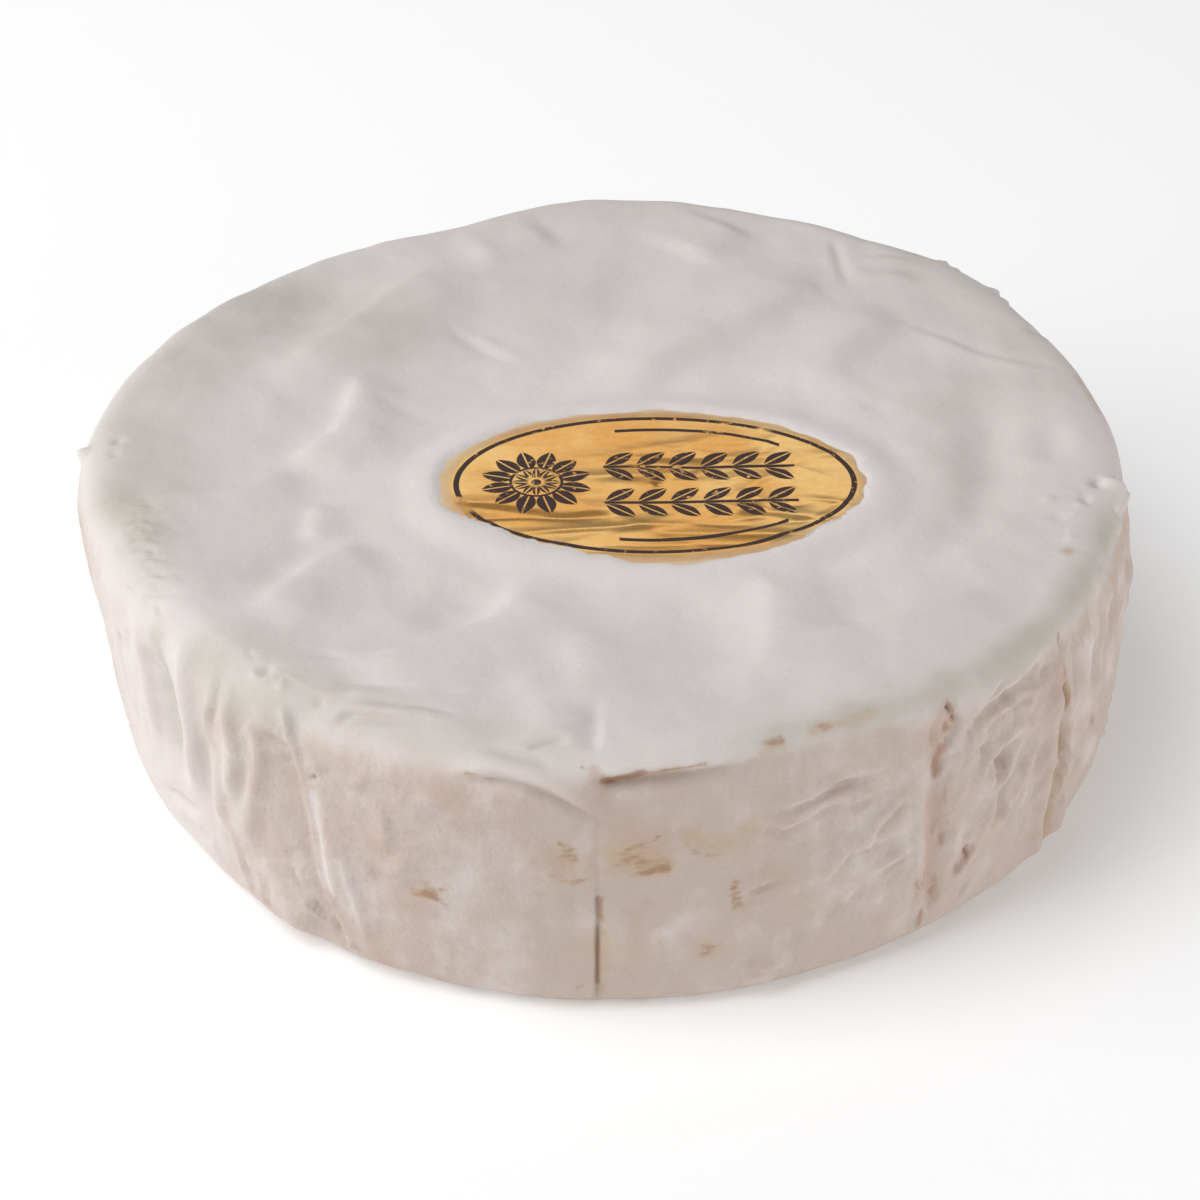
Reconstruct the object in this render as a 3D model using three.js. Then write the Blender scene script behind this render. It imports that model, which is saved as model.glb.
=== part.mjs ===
// A one-kilogram wheel of soft cheese with a white mould rind, and the oval foil label that is
// stuck to its top. Millimetres, +Z up. The wheel lies on the plane z = 0, and the origin is on
// that plane, under the middle of the wheel's footprint. The label reads the right way up from -Y.
//
// The wheel ripened as one body, so it is one solid: rind and paste are not parted. The label is a
// thin sheet of its own, which could be peeled off.
import * as THREE from "three";
import { mergeVertices } from "three/addons/utils/BufferGeometryUtils.js";

// Driving dimensions
const wheelRadius = 82.4; // mean radius of the upper rim
const wheelHeight = 47.5; // over the upper rim
const dishDepth = 1.2; // the top has sunk this much at its middle
const bellyOut = 0.8; // the wall stands this much proud at half height
const footEdge = 3.5; // radius of the rounded lower edge
const labelLength = 68.5;
const labelWidth = 44.5;
const labelThickness = 0.2;
const labelGap = 0.3; // the glue and the pressed mould under the label
const labelCentre = new THREE.Vector2(6.7, -11.9);
const labelTurn = THREE.MathUtils.degToRad(1);

// A soft wheel is never quite round. Each list goes once round the wheel from +X, towards +Y, in
// equal steps, and gives the plan radius there as a share of wheelRadius.
const rimShares = [
  0.99, 0.991, 1.028, 1.003, 1.03, 0.945, 0.97, 1.007, 1.035, 0.992, 0.999, 1.006, 0.99, 0.95, 0.988, 0.976,
];
const footShares = [
  0.988, 0.98, 0.998, 0.978, 0.988, 0.936, 0.954, 0.982, 0.982, 0.974, 0.966, 0.99, 0.978, 0.97, 0.981, 0.996,
];
// The upper edge is soft and round at the left and front left, and crisp elsewhere.
const softEdge = 8;
const crispEdge = 3.2;
const softestAngle = THREE.MathUtils.degToRad(232);

// Steps along each stretch of the wheel's outline, and round the axis
const wheelSectors = 96;
const footSteps = 4;
const wallSteps = 6;
const rimSteps = 6;
const faceSteps = 6;
const labelSectors = 64;
const labelSteps = 4;

// A closed smooth curve through one ring of plan radii, read by angle.
function planRadius(shares) {
  const curve = new THREE.CatmullRomCurve3(
    shares.map((share, i) => {
      const angle = (i / shares.length) * 2 * Math.PI;
      const radius = share * wheelRadius;
      return new THREE.Vector3(radius * Math.cos(angle), radius * Math.sin(angle), 0);
    }),
    true,
  );
  return (angle) => {
    const point = curve.getPoint(THREE.MathUtils.euclideanModulo(angle / (2 * Math.PI), 1));
    return Math.hypot(point.x, point.y);
  };
}

const rimRadius = planRadius(rimShares);
const footRadius = planRadius(footShares);

function edgeRadius(angle) {
  const softness = Math.max(0, Math.cos(angle - softestAngle)) ** 2;
  return THREE.MathUtils.lerp(crispEdge, softEdge, softness);
}

// Height of the sunken top at a plan radius, with the rim's own plan radius there.
function topHeight(radius, rim) {
  const share = Math.min(1, radius / rim);
  return wheelHeight - dishDepth * (1 - share * share);
}

// The wheel's outline at one angle, as [plan radius, height] pairs from the middle of the base, out
// over the foot, up the wall, over the rim and in to the middle of the top.
function wheelOutline(angle) {
  const foot = footRadius(angle);
  const rim = rimRadius(angle);
  const edge = edgeRadius(angle);
  const outline = [];
  for (let i = 0; i < faceSteps; i++) outline.push([(i / faceSteps) * (foot - footEdge), 0]);
  for (let i = 0; i <= footSteps; i++) {
    const turn = (i / footSteps) * (Math.PI / 2);
    outline.push([foot - footEdge * (1 - Math.sin(turn)), footEdge * (1 - Math.cos(turn))]);
  }
  const wallTop = topHeight(rim - edge, rim) - edge;
  for (let i = 1; i < wallSteps; i++) {
    const up = i / wallSteps;
    const belly = bellyOut * Math.sin(up * Math.PI);
    const radius = THREE.MathUtils.lerp(foot, rim, up) + belly;
    outline.push([radius, THREE.MathUtils.lerp(footEdge, wallTop, up)]);
  }
  for (let i = 0; i <= rimSteps; i++) {
    const turn = (i / rimSteps) * (Math.PI / 2);
    outline.push([rim - edge * (1 - Math.cos(turn)), wallTop + edge * Math.sin(turn)]);
  }
  for (let i = faceSteps - 1; i >= 0; i--) {
    const radius = (i / faceSteps) * (rim - edge);
    outline.push([radius, topHeight(radius, rim)]);
  }
  return outline;
}

// A closed solid turned about +Z, whose outline may change with the angle. The lathe gives the mesh
// its faces, and every vertex is then put where outlineAt says.
function turnedSolid(sectors, outlineAt, place) {
  const rings = outlineAt(0).length;
  const spindle = Array.from({ length: rings }, (_, ring) => new THREE.Vector2(1, ring));
  const lathe = new THREE.LatheGeometry(spindle, sectors);
  const position = lathe.getAttribute("position");
  for (let sector = 0; sector <= sectors; sector++) {
    const angle = ((sector % sectors) / sectors) * 2 * Math.PI;
    outlineAt(angle).forEach(([radius, height], ring) => {
      const point = place(radius * Math.cos(angle), radius * Math.sin(angle), height);
      position.setXYZ(sector * rings + ring, point.x, point.y, point.z);
    });
  }
  lathe.deleteAttribute("normal");
  lathe.deleteAttribute("uv");
  const solid = mergeVertices(lathe);
  solid.setIndex(withoutSlivers(solid.index.array));
  solid.computeVertexNormals();
  return solid;
}

// The lathe leaves a flat triangle at each pole, with two corners on the same vertex.
function withoutSlivers(corners) {
  const kept = [];
  for (let i = 0; i < corners.length; i += 3) {
    const [a, b, c] = corners.slice(i, i + 3);
    if (a !== b && b !== c && c !== a) kept.push(a, b, c);
  }
  return kept;
}

function makeWheel() {
  const geometry = turnedSolid(wheelSectors, wheelOutline, (x, y, z) => new THREE.Vector3(x, y, z));
  const rind = new THREE.MeshStandardMaterial({ color: 0xe4dbd4, roughness: 0.85, metalness: 0 });
  const wheel = new THREE.Mesh(geometry, rind);
  wheel.name = "cheese_wheel";
  return wheel;
}

// The label's outline as [share of its half size, layer]: layer 0 is its underside, 1 its face.
function labelOutline() {
  const outline = [];
  for (let i = 0; i <= labelSteps; i++) outline.push([i / labelSteps, 0]);
  for (let i = labelSteps; i >= 0; i--) outline.push([i / labelSteps, 1]);
  return outline;
}

// The label bends with the sunken top that it is stuck to.
function makeLabel() {
  const geometry = turnedSolid(labelSectors, labelOutline, (along, across, layer) => {
    const flat = new THREE.Vector2((along * labelLength) / 2, (across * labelWidth) / 2);
    flat.rotateAround(new THREE.Vector2(), labelTurn).add(labelCentre);
    const seat = topHeight(flat.length(), rimRadius(flat.angle())) + labelGap;
    return new THREE.Vector3(flat.x, flat.y, seat + layer * labelThickness);
  });
  const foil = new THREE.MeshStandardMaterial({ color: 0xd0a05a, roughness: 0.35, metalness: 1 });
  const label = new THREE.Mesh(geometry, foil);
  label.name = "foil_label";
  return label;
}

const cheese = new THREE.Group();
cheese.add(makeWheel(), makeLabel());

// The plan outline is uneven, so the pair is moved together until its footprint is centred.
const footprint = new THREE.Box3().setFromObject(cheese);
const middle = footprint.getCenter(new THREE.Vector3());
for (const piece of cheese.children) piece.geometry.translate(-middle.x, -middle.y, 0);

export default cheese;
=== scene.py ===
# %% [markdown]
# # A wheel of soft cheese and its foil label
# The wheel is one ripened body: a pale paste inside a thin skin of white mould. It has sagged a
# little, so its top is sunken, its edge is soft on one side and its wall has gathered into pleats.
# An oval of gold foil is stuck to its top, and the mould has begun to grow over the foil's edge.
# Both pieces are packed already as plain solids of the right size. This lesson gives them a skin.

# %% Load the plain wheel
import math

import bpy
import numpy as np
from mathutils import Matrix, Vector
from mathutils.bvhtree import BVHTree


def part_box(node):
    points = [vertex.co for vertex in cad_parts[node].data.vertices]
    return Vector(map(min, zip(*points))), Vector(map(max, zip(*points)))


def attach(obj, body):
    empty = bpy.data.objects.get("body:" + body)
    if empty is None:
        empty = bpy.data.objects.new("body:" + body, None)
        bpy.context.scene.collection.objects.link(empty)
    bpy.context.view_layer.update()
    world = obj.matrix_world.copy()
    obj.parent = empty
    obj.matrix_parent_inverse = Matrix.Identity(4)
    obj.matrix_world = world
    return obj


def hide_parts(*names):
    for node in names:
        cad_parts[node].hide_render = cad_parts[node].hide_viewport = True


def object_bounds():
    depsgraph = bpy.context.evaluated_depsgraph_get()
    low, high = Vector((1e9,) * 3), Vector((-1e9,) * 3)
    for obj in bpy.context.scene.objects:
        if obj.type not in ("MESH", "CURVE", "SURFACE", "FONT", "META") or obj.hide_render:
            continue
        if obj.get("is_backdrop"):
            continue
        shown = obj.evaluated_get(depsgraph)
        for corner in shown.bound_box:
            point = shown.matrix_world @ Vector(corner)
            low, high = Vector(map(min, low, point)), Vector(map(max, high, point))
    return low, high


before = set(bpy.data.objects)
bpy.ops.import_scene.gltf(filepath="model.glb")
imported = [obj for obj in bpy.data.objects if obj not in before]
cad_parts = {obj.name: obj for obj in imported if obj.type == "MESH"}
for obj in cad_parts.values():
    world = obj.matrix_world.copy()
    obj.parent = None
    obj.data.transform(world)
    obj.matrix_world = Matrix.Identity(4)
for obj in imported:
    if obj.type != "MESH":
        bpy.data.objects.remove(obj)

MM = 0.001
cad_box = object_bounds()
plain_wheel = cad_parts["cheese_wheel"]
wheel_low, wheel_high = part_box("cheese_wheel")
label_low, label_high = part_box("foil_label")
wheel_radius = (wheel_high.x - wheel_low.x) / 2
label_centre = (label_low + label_high) / 2
print("wheel", [round(side / MM, 1) for side in wheel_high - wheel_low], "mm")
print("label", [round(side / MM, 1) for side in label_high - label_low], "mm")

# %% [markdown]
# ## The camera
# A wheel on a counter is seen from the front and from well above. A long lens, about 90 mm on a
# 36 mm frame, stands half a metre off, so that near and far edges keep their true proportions.
# The camera comes first, because every later choice is judged through it.

# %% Set the camera
look_down = math.radians(35.7)
stand_off = 440.7 * MM
aim = Vector((-0.4 * MM, -44.7 * MM, wheel_high.z))
camera = bpy.data.objects.new("camera", bpy.data.cameras.new("camera"))
bpy.context.scene.collection.objects.link(camera)
camera.data.lens = 90
camera.data.sensor_width = 36
camera.location = aim + stand_off * Vector((0, -math.cos(look_down), math.sin(look_down)))
camera.rotation_euler = (math.pi / 2 - look_down, 0, 0)
bpy.context.scene.camera = camera
print("camera at", [round(place / MM) for place in camera.location], "mm")

# %% [markdown]
# ## A blank for the skin
# The plain wheel has large flat facets. A new skin could be a voxel remesh of it, but that lays a
# square grid over round forms. A turned blank is better: a cylinder whose rows run round the wheel
# and whose ends are filled with a grid, so there is no pinched pole in the middle of the top. It is
# made a little too large, shrunk onto the plain wheel, and only then subdivided. Its edges are
# rounded before the ends are filled, because a wide bevel would fold the grid's outer cells over.


# %% Small helpers for working by hand
def work_on(piece):
    """Selects one piece alone and makes it the active one."""
    bpy.ops.object.select_all(action="DESELECT")
    piece.select_set(True)
    bpy.context.view_layer.objects.active = piece


def choose_edges(piece, wanted):
    """In edit mode, selects the edges whose two ends satisfy wanted(start, end)."""
    bpy.ops.mesh.select_mode(type="EDGE")
    bpy.ops.mesh.select_all(action="DESELECT")
    bpy.ops.object.mode_set(mode="OBJECT")
    corners = piece.data.vertices
    for edge in piece.data.edges:
        start, end = (corners[i].co for i in edge.vertices)
        edge.select = wanted(start, end)
    bpy.ops.object.mode_set(mode="EDIT")


def finish_with(piece, kind, **settings):
    """Adds a modifier of that kind to the piece and applies it."""
    modifier = piece.modifiers.new(kind.lower(), kind)
    for name, value in settings.items():
        setattr(modifier, name, value)
    work_on(piece)
    bpy.ops.object.modifier_apply(modifier=modifier.name)


def triangles(piece):
    return sum(len(face.vertices) - 2 for face in piece.data.polygons)


# %% Turn the blank
blank_sides = 88
spare = 4 * MM
blank_radius = wheel_radius + spare
blank_top = wheel_high.z + spare
blank_foot = -spare
bpy.ops.object.select_all(action="DESELECT")
bpy.ops.mesh.primitive_cylinder_add(
    vertices=blank_sides,
    radius=blank_radius,
    depth=blank_top - blank_foot,
    end_fill_type="NGON",
    location=(0, 0, (blank_top + blank_foot) / 2),
)
wheel = bpy.context.object
wheel.name = "cheese_rind"
bpy.ops.object.transform_apply(location=True)
print("blank", 2 * blank_radius / MM, "mm across")

# %% Round the two edges, and cut the wall into rows
near = 0.1 * MM
bpy.ops.object.mode_set(mode="EDIT")
for end, round_size, steps in ((blank_top, 9 * MM, 2), (blank_foot, 6 * MM, 1)):
    choose_edges(wheel, lambda a, b: abs(a.z - end) < near and abs(b.z - end) < near)
    bpy.ops.mesh.bevel(offset=round_size, segments=steps, profile=0.5, affect="EDGES")
choose_edges(wheel, lambda a, b: abs(a.z - b.z) > 20 * MM)
bpy.ops.mesh.subdivide(number_cuts=6)

# %% Put a grid into each end in place of its one large face
bpy.ops.mesh.select_mode(type="FACE")
bpy.ops.mesh.select_all(action="DESELECT")
bpy.ops.object.mode_set(mode="OBJECT")
for face in wheel.data.polygons:
    face.select = len(face.vertices) > 4
bpy.ops.object.mode_set(mode="EDIT")
bpy.ops.mesh.delete(type="ONLY_FACE")
for end in (blank_top, blank_foot):
    choose_edges(wheel, lambda a, b: abs(a.z - end) < near and abs(b.z - end) < near)
    bpy.ops.mesh.fill_grid(span=blank_sides // 4)
bpy.ops.mesh.select_all(action="SELECT")
bpy.ops.mesh.normals_make_consistent(inside=False)
bpy.ops.object.mode_set(mode="OBJECT")
facing_up = sum(face.normal.z > 0.9 for face in wheel.data.polygons)
print("blank faces", len(wheel.data.polygons), "of which look up", facing_up)

# %% Shrink the blank onto the wheel, then make it fine
finish_with(wheel, "SHRINKWRAP", target=plain_wheel, wrap_method="NEAREST_SURFACEPOINT")
finish_with(wheel, "SUBSURF", levels=3, render_levels=3)
print("skin", triangles(wheel), "triangles")

# %% [markdown]
# ## Soft unevenness
# No part of a ripened wheel is flat or straight. Two cloud textures push the skin in and out along
# its normals: a broad one, for the way the paste has slumped, and a smaller one, for curds that
# show through. A real texture datablock does this in one modifier, with no sculpting.


# %% Push the skin in and out
def push_with_clouds(piece, size, depth):
    clouds = bpy.data.textures.new("clouds", "CLOUDS")
    clouds.noise_scale = size
    clouds.noise_depth = 1
    finish_with(
        piece,
        "DISPLACE",
        texture=clouds,
        texture_coords="LOCAL",
        strength=depth,
        mid_level=0.5,
    )


push_with_clouds(wheel, 24 * MM, 1.3 * MM)
push_with_clouds(wheel, 8 * MM, 0.45 * MM)

# %% [markdown]
# ## Strokes of the modelling tool
# Pleats, folds, creases and pits are what make it a cheese and not a cake. Each one is a stroke, as
# with a modelling tool: a line drawn on the skin through a few marks, with a width and a height.
# Marks on the top are given as x, y in millimetres, and marks on the wall as an angle in degrees
# and a height in millimetres. The strokes only note how far each point of the skin must move, so
# their order doesn't matter, and all of them are carried out at the end.

# %% Take the skin's points into the workshop, in millimetres
skin = np.zeros(len(wheel.data.vertices) * 3, np.float32)
wheel.data.vertices.foreach_get("co", skin)
skin = skin.reshape(-1, 3).astype(float) / MM
outward = np.zeros(len(wheel.data.vertices) * 3, np.float32)
wheel.data.vertex_normals.foreach_get("vector", outward)
outward = outward.reshape(-1, 3).astype(float)
lift = np.zeros(len(skin))
slide = np.zeros_like(skin)
painted = ("tan", "white", "stain", "rust_and_shadow", "ochre", "blush_and_shade", "olive_and_shade")
layers = {name: np.zeros(len(skin)) for name in painted}
skin_finder = BVHTree.FromObject(wheel, bpy.context.evaluated_depsgraph_get())
print("points on the skin", len(skin))


# %% Marks and lines on the skin
def found(hit):
    """A hit on the skin, in millimetres."""
    return np.array(hit[0]) / MM


def t(x, y):
    """A mark on the top, or on the edge where there is no top below it."""
    hit = skin_finder.ray_cast(Vector((x * MM, y * MM, 0.2)), Vector((0, 0, -1)))
    return found(hit if hit[0] else skin_finder.find_nearest(Vector((x, y, 46)) * MM))


def w(angle, height):
    """A mark on the wall, or on the edge above it."""
    turn = math.radians(angle)
    way = Vector((math.cos(turn), math.sin(turn), 0))
    level = min(height, 44)
    mark = found(skin_finder.ray_cast(way * 0.2 + Vector((0, 0, level * MM)), -way))
    if height > level:
        mark = found(skin_finder.find_nearest(Vector((mark[0], mark[1], height)) * MM))
    return mark


def line_through(marks, step=0.5):
    """A smooth line on the skin through the marks, as points a step apart."""
    marks = np.asarray(marks, float)
    if len(marks) == 1:
        return marks
    ends = np.vstack([2 * marks[0] - marks[1], marks, 2 * marks[-1] - marks[-2]])
    stretches = []
    for a, b, c, d in zip(ends, ends[1:], ends[2:], ends[3:]):
        count = max(2, int(np.linalg.norm(c - b) / step))
        s = np.arange(count)[:, None] / count
        bend = (2 * a - 5 * b + 4 * c - d) * s**2 + (3 * b - a - 3 * c + d) * s**3
        stretches.append((2 * b + (c - a) * s + bend) / 2)
    line = np.vstack([*stretches, marks[-1:]])
    return np.array([found(skin_finder.find_nearest(Vector(point * MM))) for point in line])


def smooth_step(value):
    value = np.clip(value, 0, 1)
    return value * value * (3 - 2 * value)


def reach(line, width):
    """The skin's points near a line, how far to its left each is, and its place along it."""
    close = ((skin > line.min(0) - width) & (skin < line.max(0) + width)).all(1)
    near_by = np.flatnonzero(close)
    away = skin[near_by][:, None] - line[None]
    nearest = (away**2).sum(2).argmin(1)
    away = away[np.arange(len(near_by)), nearest]
    if len(line) == 1:
        return near_by, np.linalg.norm(away, axis=1), np.full(len(near_by), 0.5), None
    onward = np.gradient(line, axis=0)
    onward /= np.linalg.norm(onward, axis=1)[:, None] + 1e-9
    onward = onward[nearest]
    leftward = np.cross(outward[near_by], onward)
    past = (away * onward).sum(1)
    inner = (nearest > 0) & (nearest < len(line) - 1)
    square = (away**2).sum(1) - np.where(inner, past**2, 0)
    left = np.sqrt(np.maximum(square, 0)) * np.where((away * leftward).sum(1) < 0, -1, 1)
    along = (nearest + np.where(inner, past / 0.5, 0)) / (len(line) - 1)
    return near_by, left, along, leftward


def bell(left, width):
    """1 on the line, falling away over one width; width may be (to the left, to the right)."""
    left_width, right_width = width if isinstance(width, tuple) else (width, width)
    return np.exp(-((left / np.where(left > 0, left_width, right_width)) ** 2))


def widest(width):
    return 3 * (max(width) if isinstance(width, tuple) else width)


# %% The tools: a stroke that raises or sinks the skin, a tuck, and a dab of colour
SOFT_ENDS = (0.45, 0.45)  # shares of a line's length over which it fades in and out
EVEN_ENDS = (0.4, 0.4)


def stroke(marks, width, height, fade=(0.3, 0.3), push=0.0):
    """Raises the skin along a line; a height below 0 sinks it. push moves the crest leftward."""
    line = line_through(marks)
    near_by, left, along, leftward = reach(line, widest(width))
    strength = bell(left, width)
    if len(line) > 1:
        strength = strength * smooth_step(along / max(fade[0], 0.01))
        strength = strength * smooth_step((1 - along) / max(fade[1], 0.01))
    lift[near_by] += height * strength
    if push:
        slide[near_by] += leftward * (push * strength)[:, None]


def tuck(marks, height, depth, width=0.8, fade=(0.2, 0.2), push=0.0):
    """A fold of skin: a crest along the line, and a narrow valley just to its left."""
    line = line_through(marks)
    near_by, left, along, leftward = reach(line, 5 * width)
    ends = smooth_step(along / max(fade[0], 0.01)) * smooth_step((1 - along) / max(fade[1], 0.01))
    crest = bell(left, (0.8 * width, 2.2 * width))
    valley = bell(left - 1.6 * width, (1.3 * width, 0.8 * width))
    lift[near_by] += ends * (height * crest - depth * valley)
    if push:
        slide[near_by] += leftward * (push * ends * crest)[:, None]


def dab(layer, marks, size, amount):
    """Paints one of the layers along a line, or round a single mark."""
    near_by, left, _, _ = reach(line_through(marks), widest(size))
    layers[layer][near_by] += amount * bell(left, size)

# %% [markdown]
# ## The soft pleats at the left
# On the left the wheel leaned against its neighbour while it was young. Its edge there is round,
# and the wall below has folded into long soft pleats with one sharp one at their right.

# %% Pleats of the left wall
stroke([w(199, 43), w(203, 41), w(207, 38)], 5.0, 0.9)
stroke([w(210.6, 45), w(212, 37), w(213, 28), w(213.5, 19)], (1.6, 2.4), 1.1)
stroke([w(215.2, 45), w(216.4, 35), w(217.0, 27), w(218.2, 12)], (2.6, 4.0), -2.5, fade=(0.4, 0.5))
# The grey-green dab in this hollow is painted shade.
dab("olive_and_shade", [w(215.6, 42), w(216.6, 34), w(217.4, 24)], 3.0, 0.8)
stroke([w(218.2, 41), w(219.2, 33), w(219.8, 24), w(219.6, 15)], (0.7, 1.6), -0.8, fade=(0.5, 0.5))
stroke([w(218.4, 47), w(221.0, 42), w(222.6, 34), w(222.2, 25), w(220.2, 17)], (2.2, 1.4), 1.7)
stroke([w(224.2, 39), w(224.9, 30), w(224.9, 20), w(224.2, 9)], (1.0, 2.0), -0.55, fade=(0.5, 0.5))
tuck([w(225.6, 46), w(226.4, 41), w(225.6, 36), w(225.9, 30)], 0.6, 0.4, width=0.5, fade=(0.4, 0.5))
stroke([w(228.3, 45), w(229.0, 39), w(229.3, 31), w(228.4, 23)], (1.8, 1.2), 1.4)
stroke([w(231.2, 38), w(231.0, 29), w(229.6, 18)], (0.9, 1.6), -0.4, fade=(0.5, 0.5))
stroke([w(232.6, 45), w(233.2, 38), w(232.3, 29), w(230.9, 20)], (1.8, 1.0), 0.9)
stroke([w(226.6, 32), w(227.0, 25), w(226.4, 17)], 1.0, 0.8)
tuck([w(227.6, 18), w(228.2, 12), w(228.9, 6), w(229.2, 2)], 0.7, 0.1, width=0.5, fade=(0.4, 0.3))
stroke([w(212.5, 10), w(215.3, 12), w(218.7, 13), w(222, 14.5)], 0.6, -0.8)
stroke([w(213.5, 8.6), w(218, 10.4), w(223, 11)], 1.4, 0.7)
stroke([w(231.6, 12), w(232.6, 8), w(232.8, 4)], 0.8, -0.5)
for angle in (203, 206, 209, 214.5, 216):
    stroke([w(angle, 36), w(angle + 0.8, 26), w(angle + 1, 16)], 1.0, 0.35)
print("left pleats", round(lift.max(), 2), "mm high")

# %% The sharp pleat, and the pinch at its foot
sharp_pleat = [w(235, 45.5), w(236.2, 43.5), w(237.8, 40), w(238.9, 33), w(239.6, 27), w(240.1, 19)]
sharp_pleat += [w(240.8, 13), w(242.2, 8), w(243.6, 2)]
stroke(sharp_pleat, (0.7, 5.0), -1.2, fade=(0.3, 0.1))
stroke(sharp_pleat, (0.7, 0.55), 1.5, fade=(0.08, 0.1), push=0.1)
stroke([w(240.6, 36), w(241.6, 28), w(242.0, 20), w(242.6, 11)], (2.6, 1.0), 1.0, fade=(0.45, 0.4))
tuck([w(231.5, 40.5), w(233.9, 39), w(237.6, 37.2)], 0.8, 0.5, width=0.6)
stroke([w(243.4, 27), w(243.9, 21), w(244.6, 14), w(245.2, 6)], 0.6, 0.7, fade=(0.4, 0.3))
stroke([w(247.6, 37), w(248.5, 32), w(248.8, 26)], (0.7, 2.0), 0.7, fade=EVEN_ENDS)
stroke([w(240.3, 36.5), w(240.6, 35.9)], 0.7, -1.2)
# This pale streak is a painted highlight on the lit face of the sharp pleat.
dab("white", [w(240.2, 33), w(240.8, 25), w(241.3, 16)], 1.0, 0.6)
# Grey-green dabs along the top of the pleats and down their hollows are painted shade.
dab("olive_and_shade", [w(223, 44), w(229, 42), w(236, 43)], 4.0, 0.5)
dab("olive_and_shade", [w(224.5, 36), w(225, 24)], 2.0, 0.5)
dab("olive_and_shade", [w(231, 38), w(231, 24)], 2.2, 0.4)
dab("olive_and_shade", [w(235, 33), w(237, 20)], 2.5, 0.4)
dab("white", [w(218.6, 44), w(221.4, 38), w(222.4, 28)], 1.8, 0.8)
stroke([w(239.5, 37.4), w(240.6, 38.3), w(241.6, 37.2)], 0.6, 0.6)
stroke([w(236.7, 17), w(236.2, 14.5), w(237.2, 12.5), w(238.9, 13)], 0.5, -0.6)
stroke([w(237.8, 15)], 1.1, 0.5)
stroke([w(236.3, 12), w(239.2, 8), w(241.5, 5.6)], 0.5, 0.9)
stroke([w(238, 10.6), w(240.4, 6.6)], 0.6, -0.5)
stroke([w(241.6, 5.4), w(243.4, 4.4)], 0.6, 0.9)
stroke([w(229, 8), w(234, 6.5), w(239, 4.5)], 4.0, 1.4)
stroke([w(224, 22), w(233, 20)], 7, 0.8)

# %% Fine pits and wrinkles where the left edge turns over
for mark, size, depth in (
    (t(-48, -60.6), 0.9, -0.6),
    (t(-50.6, -57.4), 0.6, -0.4),
    (t(-45.6, -63.6), 0.8, 0.5),
    (t(-40, -67.4), 0.7, -0.4),
    (t(-77, -1), 0.8, -0.8),
    (t(-77, -5), 0.7, -0.5),
):
    stroke([mark], size, depth)
turned_over = [t(-21, -73), t(-28, -71.6), t(-33, -70.2), t(-36, -69.4), t(-39, -70.6)]
tuck(turned_over, 0.6, 0.5, width=0.6, fade=(0.5, 0.2))
stroke([t(-51, -59.4), t(-48.4, -62), t(-45.4, -61.6)], 0.6, 0.5)
stroke([t(-38, -67.6), t(-34, -67), t(-27, -68.6)], 0.9, 0.35, fade=(0.4, 0.5))
random = np.random.default_rng(31)
for _ in range(26):
    x, y = random.uniform(-40, -22), random.uniform(-72, -57)
    length, turn = random.uniform(2, 7), random.normal(-0.1, 0.16)
    dx, dy = length * math.cos(turn), length * math.sin(turn)
    marks = [t(x - dx, y - dy), t(x + random.normal(0, 0.5), y + random.normal(0, 0.5)), t(x + dx, y + dy)]
    stroke(marks, random.uniform(0.5, 1.0), random.uniform(-0.4, 0.35), fade=SOFT_ENDS)

# %% [markdown]
# ## The split in front
# The skin split at the front, from the edge to the foot, and browned where the paste dried. To its
# left, a fold of skin slopes up over the edge. To its right, the top skin stands out over the wall
# as a crisp lip, with a shadow beneath it.

# %% The split
stroke([t(-0.6, -66), t(-0.9, -73), t(-1.1, -79.5)], (0.6, 1.8), -0.5, fade=(0.7, 0.1))
split_line = [w(269.2, 45.5), w(269.2, 38), w(269.2, 29), w(269.4, 21)]
stroke(split_line, 0.45, -0.45, fade=(0.1, 0.1))
stroke([w(269.5, 24), w(269.4, 12), w(269.3, 1)], 0.55, -0.9, fade=(0.1, 0.1))
stroke([w(268.4, 43), w(268.5, 32), w(268.6, 20), w(268.7, 3)], (1.2, 0.6), 0.2)
dab("rust_and_shadow", [w(269.7, 22.8), w(269.7, 18.6)], 0.75, 0.9)
dab("rust_and_shadow", [w(269.5, 16.5), w(269.5, 10), w(269.4, 5)], 0.45, 1.0)
dab("ochre", [w(269.9, 21), w(269.8, 11), w(269.7, 3)], 1.1, 0.6)
dab("blush_and_shade", split_line, 0.6, 0.3)

# %% The lip, which runs on round the edge to the right
lip = [w(269, 45), w(270.7, 45.4), w(272.1, 45.8), w(274.3, 46), w(278, 46), w(281.6, 46)]
lip += [w(286.8, 46), w(292.6, 46), w(297.9, 46), w(303.3, 46), w(309, 46)]
stroke(lip, (0.9, 1.6), 0.8, fade=(0.05, 0.6), push=-0.5)
under_lip = [w(269.4, 43.2), w(271, 43.6), w(273, 44), w(276, 44), w(281, 44), w(287, 43.5)]
stroke(under_lip, (1.0, 2.0), -1.9, fade=(0.05, 0.75))
# The dark brown dabs under the lip are its painted shadow, widest at the left and thinning to the right.
dab("rust_and_shadow", [w(270.4, 43.5), w(271.8, 44.1), w(273.8, 44.6)], 0.8, 1.7)
dab("rust_and_shadow", [w(273.4, 44.6), w(276.5, 45.0), w(280, 45.2)], 0.4, 0.9)
dab("ochre", [w(270.4, 43.2), w(273, 44), w(277, 44.6)], 1.3, 0.6)
dab("blush_and_shade", [w(269.2, 45.2), w(269.9, 43.8)], 1.1, 1.2)
dab("blush_and_shade", [w(269.8, 41.6)], 0.8, 0.9)
dab("blush_and_shade", [w(269.5, 37)], 0.6, 0.6)

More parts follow.
